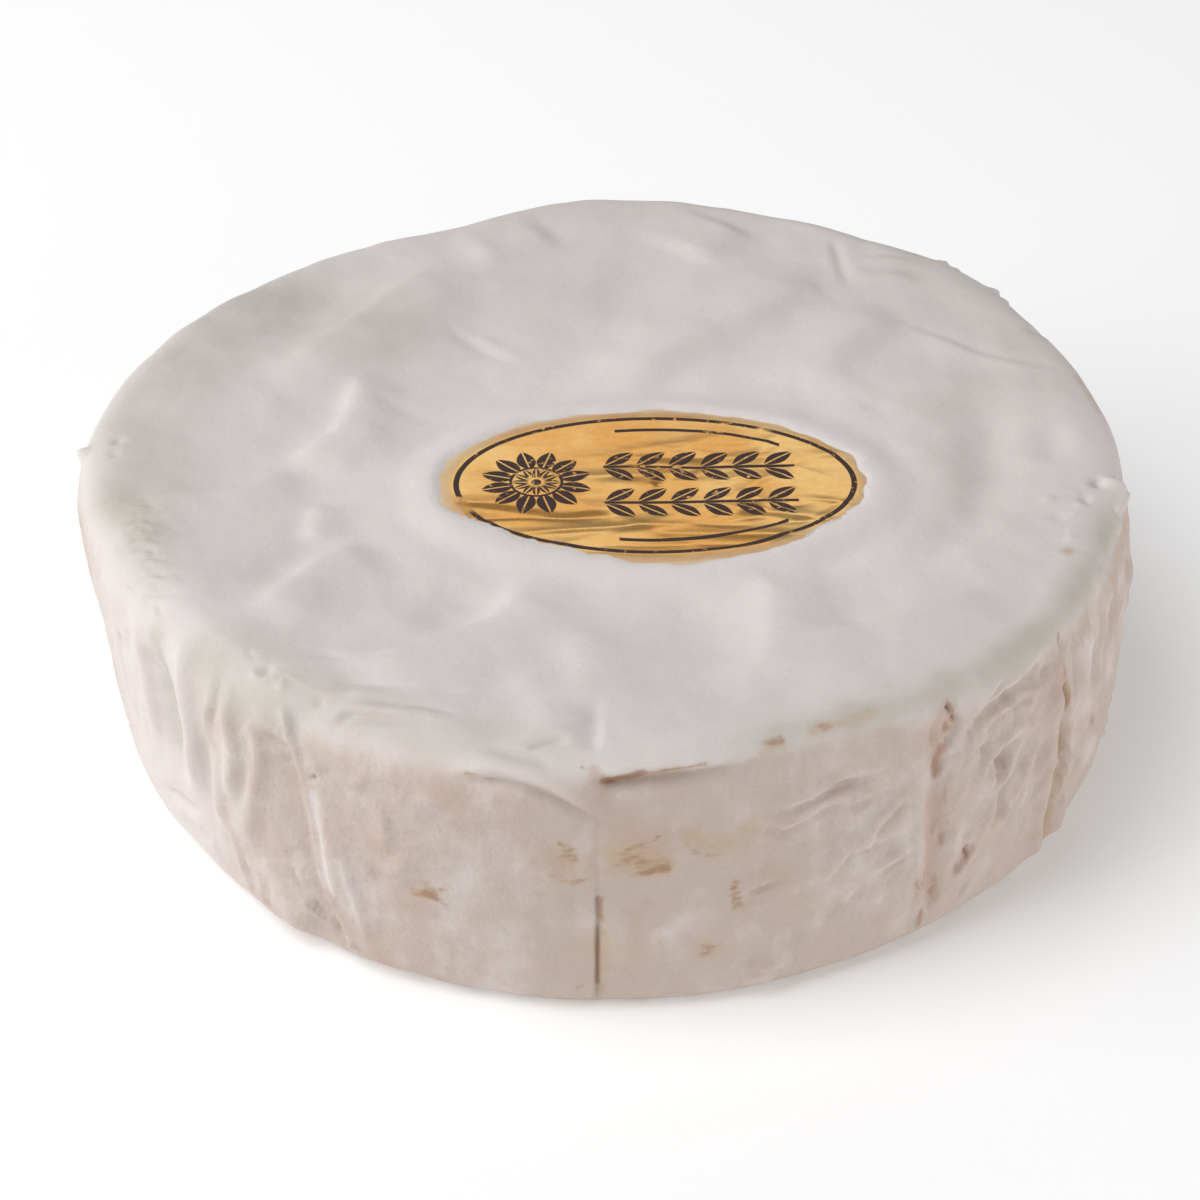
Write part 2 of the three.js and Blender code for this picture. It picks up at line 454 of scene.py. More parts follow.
# %% The fold to the left of the split, and the wrinkles above it
left_fold = [w(254.6, 43.5), w(257.4, 44), w(260.2, 44.6), w(263.2, 43.8), w(265.9, 42.4)]
left_fold += [w(268, 40.6), w(270, 38.6)]
tuck(left_fold[::-1], 1.1, 0.9, width=0.9, fade=(0.08, 0.3))
stroke([t(-17, -78), t(-10, -80), w(265.9, 45.3)], 0.7, -0.7)
stroke([t(-11, -78.6), t(-7, -77.8), t(-4.4, -77.2)], 0.6, -0.6)
stroke([t(-12, -77), t(-7, -76), t(-3, -75.4)], 0.9, 0.35)
stroke([w(251, 40.5), w(254, 39), w(258.9, 37.2), w(263, 37)], (1.0, 1.6), 0.7)
stroke([w(251, 36), w(256, 34.6), w(261, 34)], 1.6, -0.4)
dab("rust_and_shadow", [w(256.8, 43.6), w(259.4, 43.1)], 0.5, 0.65)
dab("ochre", [w(256, 43.4), w(260.4, 42.8)], 1.1, 0.5)
dab("rust_and_shadow", [w(267.9, 46.4)], 0.5, 0.7)
dab("blush_and_shade", [w(255, 40), w(262, 39)], 3.0, 0.5)

# %% [markdown]
# ## The worn right side
# The right of the wall dried fastest. It is wrinkled at a slant, has a rough brown band, and past
# that a long crack where the skin has come apart.

# %% Slanted wrinkles
slanted = (
    [w(308.3, 38.5), w(310.5, 41), w(313.8, 42.4), w(317.4, 43), w(322, 44.5)],
    [w(309.8, 36), w(312.0, 38.2), w(315.2, 39), w(318.8, 38.6), w(321.8, 37)],
    [w(309.2, 40.4), w(311.6, 43.2), w(314.6, 44.8)],
    [w(310.9, 25), w(311.4, 29), w(312.9, 32), w(316.2, 33), w(320.9, 30.4)],
    [w(312.2, 15), w(313.2, 20), w(314.6, 25), w(316.5, 29), w(319, 31)],
    [w(316, 17), w(317.4, 22), w(319.8, 26), w(321.6, 28)],
    [w(282.3, 34), w(284.5, 34.3), w(288.4, 32), w(293.2, 34), w(297.1, 33), w(301, 34.5)],
    [w(286, 36.4), w(290, 35.6), w(295, 37.4), w(299.6, 37)],
    [w(292.5, 19), w(294.9, 24), w(295.8, 25), w(300.5, 24)],
    [w(296, 22), w(298, 26), w(301.1, 30), w(303.6, 29.4)],
    [w(298, 17.6), w(300.4, 20), w(303.4, 21)],
    [w(284, 22), w(287.5, 23.3)],
    [w(283.4, 4.4), w(285.5, 6), w(289.8, 5)],
)
for wrinkle in slanted:
    tuck(wrinkle[::-1], 0.95, 0.6, width=0.6, fade=(0.35, 0.35))

# %% The rough band and its pits
stroke([w(305.8, 42), w(305.2, 30), w(305.6, 16), w(306.6, 3)], 2.0, -0.8)
stroke([w(303.4, 36), w(303.8, 24), w(304.4, 14), w(305.2, 1)], 0.6, 0.7)
dab("blush_and_shade", [w(306.4, 42), w(305.8, 33), w(305.8, 18), w(306.4, 8)], 2.0, 0.8)
dab("rust_and_shadow", [w(305.8, 37), w(305.6, 32)], 0.9, 0.5)
for marks, size, depth, browned in (
    ([w(306.7, 44.2), w(307.1, 43)], 0.5, -0.9, 1.3),
    ([w(307.2, 42.4), w(307.5, 41.2)], 0.45, -0.6, 1.0),
    ([w(306.4, 41), w(306.6, 39.8)], 0.6, -0.3, 0.6),
    ([w(310.0, 16.4), w(310.2, 14.2)], 0.5, -0.8, 1.3),
    ([w(309.4, 13.4), w(309.2, 11.8)], 0.8, -0.4, 0.5),
    ([w(311.0, 35), w(311.5, 33.4)], 0.7, -0.7, 0.3),
    ([w(332.4, 22), w(332.7, 20.2)], 0.6, -0.8, 0.7),
    ([w(303.9, 14), w(304.0, 12.4)], 0.5, -0.5, 0.7),
):
    stroke(marks, size, depth, fade=(0.1, 0.1))
    dab("rust_and_shadow", marks, size, browned)
    dab("blush_and_shade", marks, 2.5 * size, 0.8 * browned)
random = np.random.default_rng(14)
for _ in range(46):
    angle, height = random.uniform(304.6, 307.6), random.uniform(2, 40)
    marks = [w(angle, height), w(angle + random.normal(0, 0.3), height + random.uniform(1.5, 5))]
    stroke(marks, random.uniform(0.4, 0.7), random.uniform(-0.5, 0.45), fade=EVEN_ENDS)
    dab("rust_and_shadow", marks, 0.6, random.uniform(0, 0.3))
stroke([w(310.3, 19), w(310.3, 16.8)], 0.6, 0.7)
stroke([w(314, 31), w(314.1, 28), w(313.4, 24.5)], 0.7, -1.0)
random = np.random.default_rng(12)
for _ in range(80):
    angle, height = random.uniform(306, 322), random.uniform(4, 38)
    rise, lean = random.uniform(3, 10), random.uniform(0.3, 2.2)
    middle = w(angle + 0.3 * lean, height + 0.5 * rise)
    marks = [w(angle, height), middle, w(angle + lean, min(height + rise, 44))]
    stroke(marks, random.uniform(0.45, 0.9), random.uniform(-0.75, 0.75), fade=SOFT_ENDS)
for _ in range(90):
    angle, height = random.uniform(324, 358), random.uniform(4, 38)
    rise, lean = random.uniform(4, 14), random.normal(-0.8, 1.2)
    middle = w(angle + 0.6 * lean, height + 0.5 * rise)
    marks = [w(angle, height), middle, w(angle + lean, min(height + rise, 44.6))]
    stroke(marks, random.uniform(0.45, 0.9), random.uniform(-0.65, 0.7), fade=SOFT_ENDS)

# %% The long crack
crack_left = [w(322.9, 45), w(323.2, 40), w(323, 33), w(323.3, 24), w(322.7, 17), w(322.6, 9)]
crack_left += [w(323.5, 2)]
tuck(crack_left, 1.2, 1.9, width=0.7, fade=(0.12, 0.06), push=0.3)
tuck([w(324.8, 6), w(326, 16), w(327, 22), w(325.8, 31), w(325, 38)], 0.9, 1.0, width=0.6)
stroke([w(331, 33), w(333, 22), w(335, 8)], 5.0, 1.3)
stroke([w(326.6, 12), w(327, 7), w(326, 3)], 2.0, 1.2)
dab("rust_and_shadow", [w(324.6, 38), w(325.2, 31), w(325.0, 27)], 0.9, 0.9)
dab("rust_and_shadow", [w(325.4, 25), w(325.7, 21)], 1.3, 1.3)
dab("rust_and_shadow", [w(323.9, 44), w(324.2, 36), w(324.2, 28), w(324.0, 19)], 0.4, 1.1)
dab("ochre", [w(324.8, 33), w(325, 20), w(324.4, 13), w(324.4, 5)], 1.8, 0.9)
dab("blush_and_shade", [w(328, 30), w(329.5, 22)], 2.6, 0.7)
for start in (326.5, 329, 331.5, 334, 336.5, 339.5, 343, 346, 349, 351.5):
    stroke([w(start, 44.5), w(start + 0.8, 34), w(start + 0.4, 24)], 0.55, -0.7)
    stroke([w(start + 1, 44), w(start + 1.9, 35), w(start + 1.2, 26)], 0.6, 0.7)
print("crack", round(lift.min(), 2), "mm deep")

# %% [markdown]
# ## The top
# The top skin lies over sunken paste like cloth over a pillow. Most of its forms are soft steps,
# where the skin slipped a little to one side. A long one wanders over the left, and shorter ones
# lie in front of that. Faint creases fan out to the right.

# %% Soft steps: the skin drops away quickly on one side of each, and slowly on the other
soft_steps = (
    ([t(-39, 21), t(-39.5, 12), t(-40.5, 4), t(-42, -1), t(-46, -5.5), t(-49, -10.5)], 2.2, 7, 0.9),
    ([t(-47, -8), t(-52, -13), t(-58, -16.5), t(-66, -18), t(-74, -18)], 2.6, 5, 0.5),
    ([t(-26, 58), t(-32, 47), t(-38, 39), t(-43, 31), t(-50, 22), t(-56, 17)], 4.0, 10, 1.05),
    ([t(-34, -28.5), t(-39, -32.5), t(-42.5, -36), t(-45.5, -41), t(-51, -49)], 2.4, 7, 0.75),
    ([t(-43.6, -18), t(-43.8, -29)], 1.6, 4, 0.4),
    ([t(-9, -36), t(-11.5, -43), t(-15, -49), t(-22, -55), t(-30, -59), t(-38, -61)], 3.0, 8, 0.8),
    ([t(25, -34), t(25.5, -48), t(26, -66)], 4.0, 7, 0.75),
    ([t(2, 10), t(5, 20), t(12, 29), t(21, 36), t(29, 44), t(38, 55)], 4.5, 8, 0.9),
    ([t(31, 14), t(37, 24), t(43, 33), t(50, 42)], 4.0, 6, 0.6),
    ([t(-24, 58), t(-8, 67)], 5.0, 7, 0.6),
    ([t(-4, -50), t(-2, -62), t(-2, -72)], 3.5, 6, 0.5),
    ([t(-12, -62), t(-8, -70), t(-6, -77)], 3.0, 5, 0.35),
    ([t(14, 58), t(24, 70)], 5.0, 8, 0.6),
)
for marks, steep, gentle, height in soft_steps:
    stroke(marks[::-1], (steep, gentle), 1.8 * height, fade=(0.25, 0.25))
front_ridge = [t(16, -64), t(26, -59), t(37, -52.5), t(49, -46.5), t(62, -39)]
stroke(front_ridge, (2.6, 7), 1.2, fade=EVEN_ENDS)
stroke([t(26, -70), t(40, -62), t(54, -52), t(66, -40)], (5, 3), 0.5, fade=EVEN_ENDS)

# %% Soft troughs between them, and round the label
for marks, width, depth in (
    ([t(-34, 62), t(-46, 48), t(-57, 33), t(-63, 22)], 6, -0.75),
    ([t(-46, 18), t(-48, 4), t(-54, -6)], 4, -0.35),
    ([t(-41, -27), t(-48, -34), t(-53, -41)], 3.0, -0.3),
    ([t(-18, -37), t(-20, -46), t(-29, -52)], 6, -0.55),
    ([t(13, -40), t(14, -50), t(14, -62)], 6, -0.4),
    ([t(59, 22), t(61.5, 6), t(60, -10), t(56, -22), t(49, -32), t(42, -40)], 4.5, -0.65),
    ([t(2, 38), t(5, 50), t(11, 64)], 6, -0.5),
    ([t(72, 6), t(71, -8)], 3, -0.4),
):
    stroke(marks, width, 1.7 * depth, fade=EVEN_ENDS)

# %% Crisper creases
stroke([t(-28, 37), t(-22, 31), t(-16, 25), t(-10, 20)], (0.9, 1.6), -0.4, fade=(0.3, 0.6))
stroke([t(-22, 33), t(-17, 28), t(-12, 23.5)], 1.8, 0.25)
stroke([t(-39, 14), t(-33, 9), t(-22, 3)], 1.8, -0.35, fade=(0.3, 0.6))
stroke([t(40.6, 66), t(41.4, 56), t(42.6, 47)], (1.3, 0.8), -0.5, fade=(0.3, 0.4))
tuck([t(46, 38), t(54, 32.5), t(63, 25), t(72, 20.5), t(78, 19)], 0.26, 0.16, width=0.9, fade=EVEN_ENDS)
stroke([t(39, 11), t(48, 16), t(56, 17.4), t(66, 20)], (1.6, 1.2), 0.25, fade=EVEN_ENDS)
stroke([t(41.5, 11), t(43.6, 10.2), t(45.8, 10.6)], 0.6, -0.4)
for k in range(13):
    y = -19 - 2.2 * k + 0.5 * math.sin(7 * k)
    x = -72.0 + 0.5 * k
    lean, reach_in = 0.9 * math.sin(5 * k), 3.0 + 1.8 * math.sin(3 * k)
    marks = [t(x - 2.4, y - lean), t(x, y + 0.6), t(x + 0.5 * reach_in, y - 0.2), t(x + reach_in, y + lean)]
    tuck(marks, 0.2, 0.35 + 0.2 * math.sin(2.3 * k), width=0.5, fade=EVEN_ENDS)

# %% The lumpy corner at the right, and the rough back edge
stroke([t(77, -13)], 0.9, -1.3)
stroke([t(79.5, -13)], 1.4, 0.9)
dab("stain", [t(77, -13)], 0.6, 0.6)
random = np.random.default_rng(5)
for _ in range(26):
    x, y = random.uniform(68, 79), random.uniform(-34, -15)
    marks = [t(x, y), t(x + random.normal(0, 1.2), y + random.normal(0, 1.6))]
    stroke(marks, random.uniform(0.7, 1.5), random.uniform(-0.45, 0.5), fade=(0.5, 0.5))
for angle, size, height in (
    (44.5, 1.4, 1.3),
    (42.5, 1.2, 0.9),
    (40, 1.0, -0.7),
    (36, 1.3, 1.2),
    (33.5, 1.2, 0.7),
    (181, 1.1, 1.6),
    (351, 2.0, 1.2),
    (347, 1.2, -0.8),
    (345, 1.4, 0.9),
    (311, 1.6, 0.5),
):
    stroke([w(angle, 45)], size, height)
for y, height in ((50, 0.2), (53, -0.2), (56, 0.25), (58, -0.15)):
    stroke([t(44, y), t(49, y + 0.8), t(55, y - 0.5)], 1.2, height)
stroke([t(73, 34)], 1.5, -0.7)
dab("ochre", [t(55, 60)], 1.6, 0.7)
dab("ochre", [t(78, 19), t(79.5, 13), t(80.5, 8)], 1.2, 0.6)
dab("ochre", [t(70, -32)], 1.5, 0.8)

# %% [markdown]
# ## Wrinkles everywhere else
# The back, and the places between the drawn marks, carry the same kinds of marks laid by chance.
# The numbers come from a seeded generator, so the cheese is the same each time.


# %% Chance wrinkles round the wall, and over the top
def wandering(angle, low, length, lean, sway, highest):
    """Marks up the wall from angle and low, leaning over and swaying at even steps."""
    steps = np.linspace(0, 1, len(sway))
    return [w(angle + lean * s + x, min(low + length * s, highest)) for s, x in zip(steps, sway)]


random = np.random.default_rng(23)
for _ in range(54):
    angle = random.uniform(-12, 203)
    low, length = random.uniform(2, 22), random.uniform(16, 36)
    lean, sway = random.normal(0, 3.0), random.normal(0, 1.1, 5)
    marks = wandering(angle, low, length, lean, sway, 44.6)
    width = (random.uniform(0.8, 2.4), random.uniform(1.4, 4.5))
    stroke(marks, width, random.uniform(-0.75, 0.85), fade=SOFT_ENDS)
for _ in range(70):
    angle = random.uniform(-12, 203)
    low, length = random.uniform(4, 36), random.uniform(4, 15)
    lean, sway = random.normal(0, 2.4), random.normal(0, 0.5, 3)
    marks = wandering(angle, low, length, lean, sway, 44)
    height, depth = random.uniform(0.1, 0.5), random.uniform(0.05, 0.3)
    tuck(marks, height, depth, width=random.uniform(0.5, 0.9), fade=SOFT_ENDS)
for _ in range(240):
    angle = random.uniform(205, 340)
    low, length = random.uniform(3, 38), random.uniform(2, 7)
    lean = random.normal(0, 2.4)
    marks = [w(angle, low), w(angle + lean, min(low + length, 43))]
    stroke(marks, random.uniform(0.5, 1.8), random.uniform(-0.45, 0.45), fade=SOFT_ENDS)
for _ in range(80):
    distance, angle = 76 * math.sqrt(random.random()), random.uniform(0, 2 * math.pi)
    x, y = distance * math.cos(angle), distance * math.sin(angle)
    turn, half = random.uniform(0, math.pi), random.uniform(3, 10)
    dx, dy = half * math.cos(turn), half * math.sin(turn)
    bow = random.normal(0, 1.6, 2)
    marks = [(x - dx, y - dy), (x + bow[0], y + bow[1]), (x + dx, y + dy)]
    if max(math.hypot(*mark) for mark in marks) < 76:
        width = (random.uniform(1.4, 3.0), random.uniform(2.0, 5.0))
        stroke([t(*mark) for mark in marks], width, random.uniform(-0.22, 0.22), fade=SOFT_ENDS)

# %% [markdown]
# ## Stains, worn places and painted shade
# Brown, ochre and grey-green marks are painted on the skin's points, not into an image. Some of the
# grey-green and pink marks along the edge are painted shade. Each layer is a number at every point,
# which the finish reads later and breaks up with its own noise.

# %% Stains on the front wall: a few drawn marks, and wide dabs that the noise breaks into streaks
for marks, size, amount in (
    ([w(265.8, 33.6), w(266.8, 32.4), w(267.2, 30.4)], 0.8, 0.6),
    ([w(265.0, 27.6), w(267, 26.2), w(268.4, 27)], 0.7, 0.7),
    ([w(272.4, 32.4), w(274.3, 33), w(276.3, 35)], 0.7, 0.6),
    ([w(272.8, 27.0), w(276.4, 27.8)], 0.7, 0.7),
    ([w(278.4, 31.6), w(279.4, 29.8), w(281.4, 29.2)], 0.8, 0.6),
    ([w(254.9, 23.2), w(253.1, 21), w(251.0, 20.6)], 0.8, 0.7),
    ([w(254.4, 19.6), w(253.1, 21), w(252.4, 23)], 0.7, 0.7),
    ([w(254.7, 10), w(254.7, 8)], 0.6, 0.6),
    ([w(267.8, 5.4), w(267.2, 4.2)], 0.6, 0.7),
    ([w(269.9, 5), w(269.9, 4)], 0.6, 0.7),
    ([w(283.1, 23.4), w(283.3, 19.4)], 1.0, 0.9),
    ([w(266.6, 31.4)], 1.8, 0.65),
    ([w(263.4, 30.2)], 1.8, 0.4),
    ([w(272.2, 30.4), w(275.4, 29.0)], 2.2, 0.75),
    ([w(284.0, 18.6)], 1.2, 0.55),
    ([w(280.4, 11.6)], 1.8, 0.8),
    ([w(276.8, 11)], 1.2, 0.45),
    ([w(284.2, 32.6)], 1.5, 0.45),
    ([w(289.6, 18), w(292.4, 19)], 1.6, 0.4),
    ([w(252.6, 21.4)], 1.8, 0.4),
):
    dab("stain", marks, size, amount)
for marks, size, amount in (
    ([w(271.4, 31.4), w(275.4, 28.6)], 3.0, 0.8),
    ([w(266.6, 30)], 2.4, 0.6),
    ([w(278.6, 33.0), w(281.6, 31)], 2.2, 0.8),
    ([w(284.5, 33.6)], 2.0, 0.5),
    ([w(252.6, 21.6)], 2.6, 0.4),
    ([w(286, 32), w(291, 30)], 2.5, 0.3),
    ([w(284, 26), w(290, 20)], 3.5, 0.3),
    ([w(268, 14), w(276, 12), w(284, 11)], 4.0, 0.35),
):
    dab("ochre", marks, size, amount)
for marks, size, amount in (
    ([w(263, 32), w(266, 29)], 3.2, 0.7),
    ([w(271, 38), w(276, 30)], 3.6, 0.6),
    ([w(285, 26), w(289, 22)], 3.0, 0.5),
    ([w(281, 12)], 3.0, 0.6),
    ([w(252, 34), w(258, 33)], 3.0, 0.4),
    ([w(247, 20), w(255, 12)], 4.0, 0.4),
):
    dab("blush_and_shade", marks, size, amount)

# %% Stains along the edge, painted shade along the edge, and the worn patch
dab("stain", [w(286.5, 46.4), w(288.2, 46.5)], 0.7, 1.0)
dab("stain", [t(30, -72.8), t(31.5, -72.2)], 0.6, 0.7)
dab("ochre", [t(22, -76.4), t(25, -75.4)], 1.3, 0.5)
dab("ochre", [t(29, -73.2), t(38, -69.6)], 1.2, 0.6)
dab("ochre", [t(40, -66)], 2.0, 0.3)
# Grey-green along the right of the edge is partly a tint and partly painted shade where the round edge
# turns down.
for angle in range(284, 345, 4):
    dab("olive_and_shade", [w(angle, 46.8), w(angle + 4, 46.8)], 3.2, 0.36 + 0.2 * math.sin(angle))
dab("olive_and_shade", [t(-76, -17), t(-72, -24), t(-69, -31), t(-67, -38)], 5.0, 0.55)
dab("olive_and_shade", [t(-72, -19), t(-68, -27)], 3.0, 0.4)
# The grey-green and pink band along the front-left edge is painted shade that dims the light on the round
# edge.
dab("olive_and_shade", [t(-54, -54), t(-45, -62), t(-34, -70), t(-22, -76), t(-8, -79)], 6.0, 0.45)
dab("blush_and_shade", [t(-54, -54), t(-45, -62), t(-34, -70), t(-22, -76)], 6.0, 0.35)
for _ in range(20):
    x, y = random.uniform(-73, -62), random.uniform(-43, -17)
    stroke([t(x - 1.2, y + random.normal(0, 0.3)), t(x + 1.6, y)], 0.5, random.uniform(-0.45, 0.2))
    dab("stain", [t(x - 1, y), t(x + 1.4, y)], 0.5, random.uniform(0, 0.35))
random = np.random.default_rng(43)
for _ in range(90):
    angle, height = random.uniform(0, 360), random.uniform(3, 40)
    marks = [w(angle, height), w(angle + random.normal(0, 2), min(height + random.uniform(2, 9), 44))]
    dab("white", marks, random.uniform(1.4, 3.2), random.uniform(0.1, 0.4))
random = np.random.default_rng(41)
for _ in range(46):
    mark = w(random.uniform(-10, 215), random.uniform(4, 42))
    size = random.uniform(0.5, 2.0)
    dab("stain", [mark], size, random.uniform(0.2, 0.7))
    dab("ochre", [mark], 2 * size, random.uniform(0.1, 0.5))

# %% Greyer, darker felt towards the back and the left of the top: partly tint, partly painted shade
# These broad grey-green dabs tint the felt and also darken it, as painted shade where the top looks darker.
for marks, size, amount in (
    ([t(-62, 44), t(-52, 40), t(-40, 34)], 15, 0.6),
    ([t(-70, 22), t(-74, 4), t(-70, -12)], 10, 0.5),
    ([t(-20, 74), t(0, 78), t(24, 74)], 9, 0.3),
    ([t(52, 56), t(66, 40), t(74, 22)], 12, 0.4),
    ([t(58, 10), t(58, -20)], 12, 0.35),
):
    dab("olive_and_shade", marks, size, amount)

# %% Where the wall is tan: everywhere but the pleats at the left, and only below the edge
angle_round = np.degrees(np.arctan2(skin[:, 1], skin[:, 0])) % 360
from_pleats = np.abs((angle_round - 212 + 180) % 360 - 180)
band_angles = [0, 200, 245, 266, 270, 298, 308, 330, 360]
band_widths = [6, 8, 7, 6, 3, 4, 8, 6, 6]
white_band = np.interp(angle_round, band_angles, band_widths)
below_edge = smooth_step((46.5 - skin[:, 2]) / white_band) * smooth_step((0.95 - outward[:, 2]) / 0.55)
layers["tan"] = below_edge * (0.25 + 0.75 * smooth_step((from_pleats - 5) / 20))
# Pale dabs take the tan away: patches of white mould, and a painted highlight on the lit face of the sharp
# pleat.
layers["tan"] *= 1 - np.clip(layers.pop("white"), 0, 1)
layers["under"] = smooth_step((-outward[:, 2] - 0.85) / 0.13)
layers["tan"] *= 1 - 0.6 * layers["under"]

# %% [markdown]
# ## A bed for the label
# The foil was pressed on while the mould was young. Under it the skin is smooth and stands a little
# proud, and round it the mould has crept over the foil's rim in places, so the rim lies inside the
# mould there. The bed is a smooth bowl through the skin's own heights, a third of a millimetre up.

# %% Measure the skin against the label's oval
label_half = (label_high - label_low) / 2 / MM
label_middle = np.array(label_centre[:2]) / MM
label_turn = math.radians(1)


def on_oval(points):
    """For points in millimetres: angle round the label, and distance inside its edge."""
    east, north = (points[:, :2] - label_middle).T
    along = east * math.cos(label_turn) + north * math.sin(label_turn)
    across = north * math.cos(label_turn) - east * math.sin(label_turn)
    share = np.hypot(along / label_half.x, across / label_half.y)
    angle = np.degrees(np.arctan2(across / label_half.y, along / label_half.x)) % 360
    return angle, (1 / np.maximum(share, 1e-3) - 1) * np.hypot(along, across)


def ripple(angle, seed, count=9):
    """A smooth chance wave round the label, between about -1 and 1."""
    chance = np.random.default_rng(seed)
    turns = np.radians(angle)
    wave = 0
    for k in range(2, 2 + count):
        size = chance.normal(0, 1 / count**0.5)
        wave = wave + size * np.sin(k * turns + chance.uniform(0, 6))
    return wave


# %% How far the mould has crept in over the foil, in millimetres, at angles round the label
creep_angles = [0, 22, 50, 90, 140, 180, 200, 218, 240, 258, 280, 310, 335, 360]
creep_sizes = [1.0, 1.7, 1.3, 0.3, 0.2, 0.0, 0.9, 3.6, 3.4, 1.1, 0.2, 1.3, 2.4, 1.2]


def creep(angle):
    mean = np.interp(angle, creep_angles, creep_sizes)
    return mean + 0.7 * ripple(angle, 7) + 0.3 * ripple(angle, 8, 30)


# %% Press the bed and raise the lip
oval_angle, inside = on_oval(skin)
on_top = outward[:, 2] > 0.7
bed = on_top & (inside > -1)
across_bed = skin[bed, :2] - label_middle
bowl = np.column_stack([np.ones(bed.sum()), across_bed, across_bed**2, across_bed.prod(1)])
bowl_shape = np.linalg.lstsq(bowl, skin[bed, 2], rcond=None)[0]


def bed_height(points):
    """The height of the bed under points in millimetres."""
    east, north = (points[:, :2] - label_middle).T
    terms = [np.ones(len(points)), east, north, east**2, north**2, east * north]
    return np.column_stack(terms) @ bowl_shape


bed_rise = 0.35
foil_gap = 0.1
pressed = smooth_step((inside + 7) / 7.5) * on_top
level = bed_height(skin) + bed_rise - skin[:, 2]
lift = lift * (1 - 0.8 * pressed) + level * pressed
crept = smooth_step((creep(oval_angle) - inside) / 1.2 + 0.5) * smooth_step((inside + 7) / 6.5) * on_top
lift += 0.6 * crept
layers["thick"] = np.exp(-((np.minimum(inside, 0) / 24) ** 2)) * smooth_step((outward[:, 2] - 0.6) / 0.3)
print("bed pressed", round(level[bed].min(), 2), "to", round(level[bed].max(), 2), "mm")

# %% [markdown]
# ## Carrying the strokes out
# Every point of the skin now moves once, along its own normal and a little sideways where a fold
# leans over. The wheel stands on a board, so nothing goes below it. What rises past a ceiling is
# squeezed in under it smoothly, so that no fold on the top stands too far above the plain wheel.

# %% Move the skin
moved = skin + outward * lift[:, None] + slide
moved[:, 2] = np.maximum(moved[:, 2], 0)
ceiling = 47.8
headroom = 0.7
too_high = np.maximum(moved[:, 2] - ceiling, 0)
moved[:, 2] -= too_high - headroom * np.tanh(too_high / headroom)
wheel.data.vertices.foreach_set("co", (moved * MM).astype(np.float32).ravel())
wheel.data.update()
for name, amounts in layers.items():
    layer = wheel.data.attributes.new(name, "FLOAT", "POINT")
    layer.data.foreach_set("value", np.clip(amounts, 0, 1).astype(np.float32))
print("skin moved by", round(lift.min(), 2), "to", round(lift.max(), 2), "mm")

# %% [markdown]
# ## Fewer faces underneath
# The underside is nearly flat, so it needs few faces. Thinning only the faces that look down keeps
# the detail for the wall and the top.

# %% Thin the underside
work_on(wheel)
bpy.ops.object.mode_set(mode="EDIT")
bpy.ops.mesh.select_mode(type="FACE")
bpy.ops.mesh.select_all(action="DESELECT")
bpy.ops.object.mode_set(mode="OBJECT")
for face in wheel.data.polygons:
    face.select = face.normal.z < -0.9 and face.center.z < 2 * MM
bpy.ops.object.mode_set(mode="EDIT")
bpy.ops.mesh.decimate(ratio=0.12)
bpy.ops.object.mode_set(mode="OBJECT")
bpy.ops.object.shade_smooth()
print("skin", triangles(wheel), "triangles")

# %% [markdown]
# ## The foil label
# The label is thin aluminium foil, lacquered gold and printed in dark brown. It could be a texture
# on the cheese, but its cut edge and its crinkles catch the light, so it is a sheet of its own. It
# starts as an oval filled with a grid, is laid on the bed, crinkled, and only then thickened.

# %% Cut the oval
bpy.ops.object.select_all(action="DESELECT")
bpy.ops.mesh.primitive_circle_add(vertices=144, radius=1, fill_type="NOTHING")
label = bpy.context.object
label.name = "gold_foil_label"
label.scale = (label_half.x * MM, label_half.y * MM, 1)
label.rotation_euler.z = label_turn
label.location = (label_centre.x, label_centre.y, 0)
bpy.ops.object.transform_apply(location=True, rotation=True, scale=True)
bpy.ops.object.mode_set(mode="EDIT")
bpy.ops.mesh.select_all(action="SELECT")
bpy.ops.mesh.fill_grid(span=36)
bpy.ops.mesh.select_all(action="SELECT")
bpy.ops.mesh.subdivide(number_cuts=2)
bpy.ops.mesh.normals_make_consistent(inside=False)
bpy.ops.object.mode_set(mode="OBJECT")
print("label", triangles(label), "triangles, looks up:", label.data.polygons[0].normal.z > 0)

# %% Crinkle it: long folds across, and short dents
sheet = np.zeros(len(label.data.vertices) * 3, np.float32)
label.data.vertices.foreach_get("co", sheet)
sheet = sheet.reshape(-1, 3).astype(float) / MM
random = np.random.default_rng(17)
crinkle = np.zeros(len(sheet))


def fold_foil(x, y, turn, half_length, width, height):
    """One straight crinkle at x, y from the label's middle, raised or sunk, sharper on one side."""
    away = sheet[:, :2] - label_middle - [x, y]
    along = away[:, 0] * math.cos(turn) + away[:, 1] * math.sin(turn)
    beside = away[:, 1] * math.cos(turn) - away[:, 0] * math.sin(turn)
    profile = np.exp(-np.abs(beside / np.where(beside > 0, width, 0.5 * width)) ** 1.4)
    return height * profile * np.exp(-((along / half_length) ** 4))


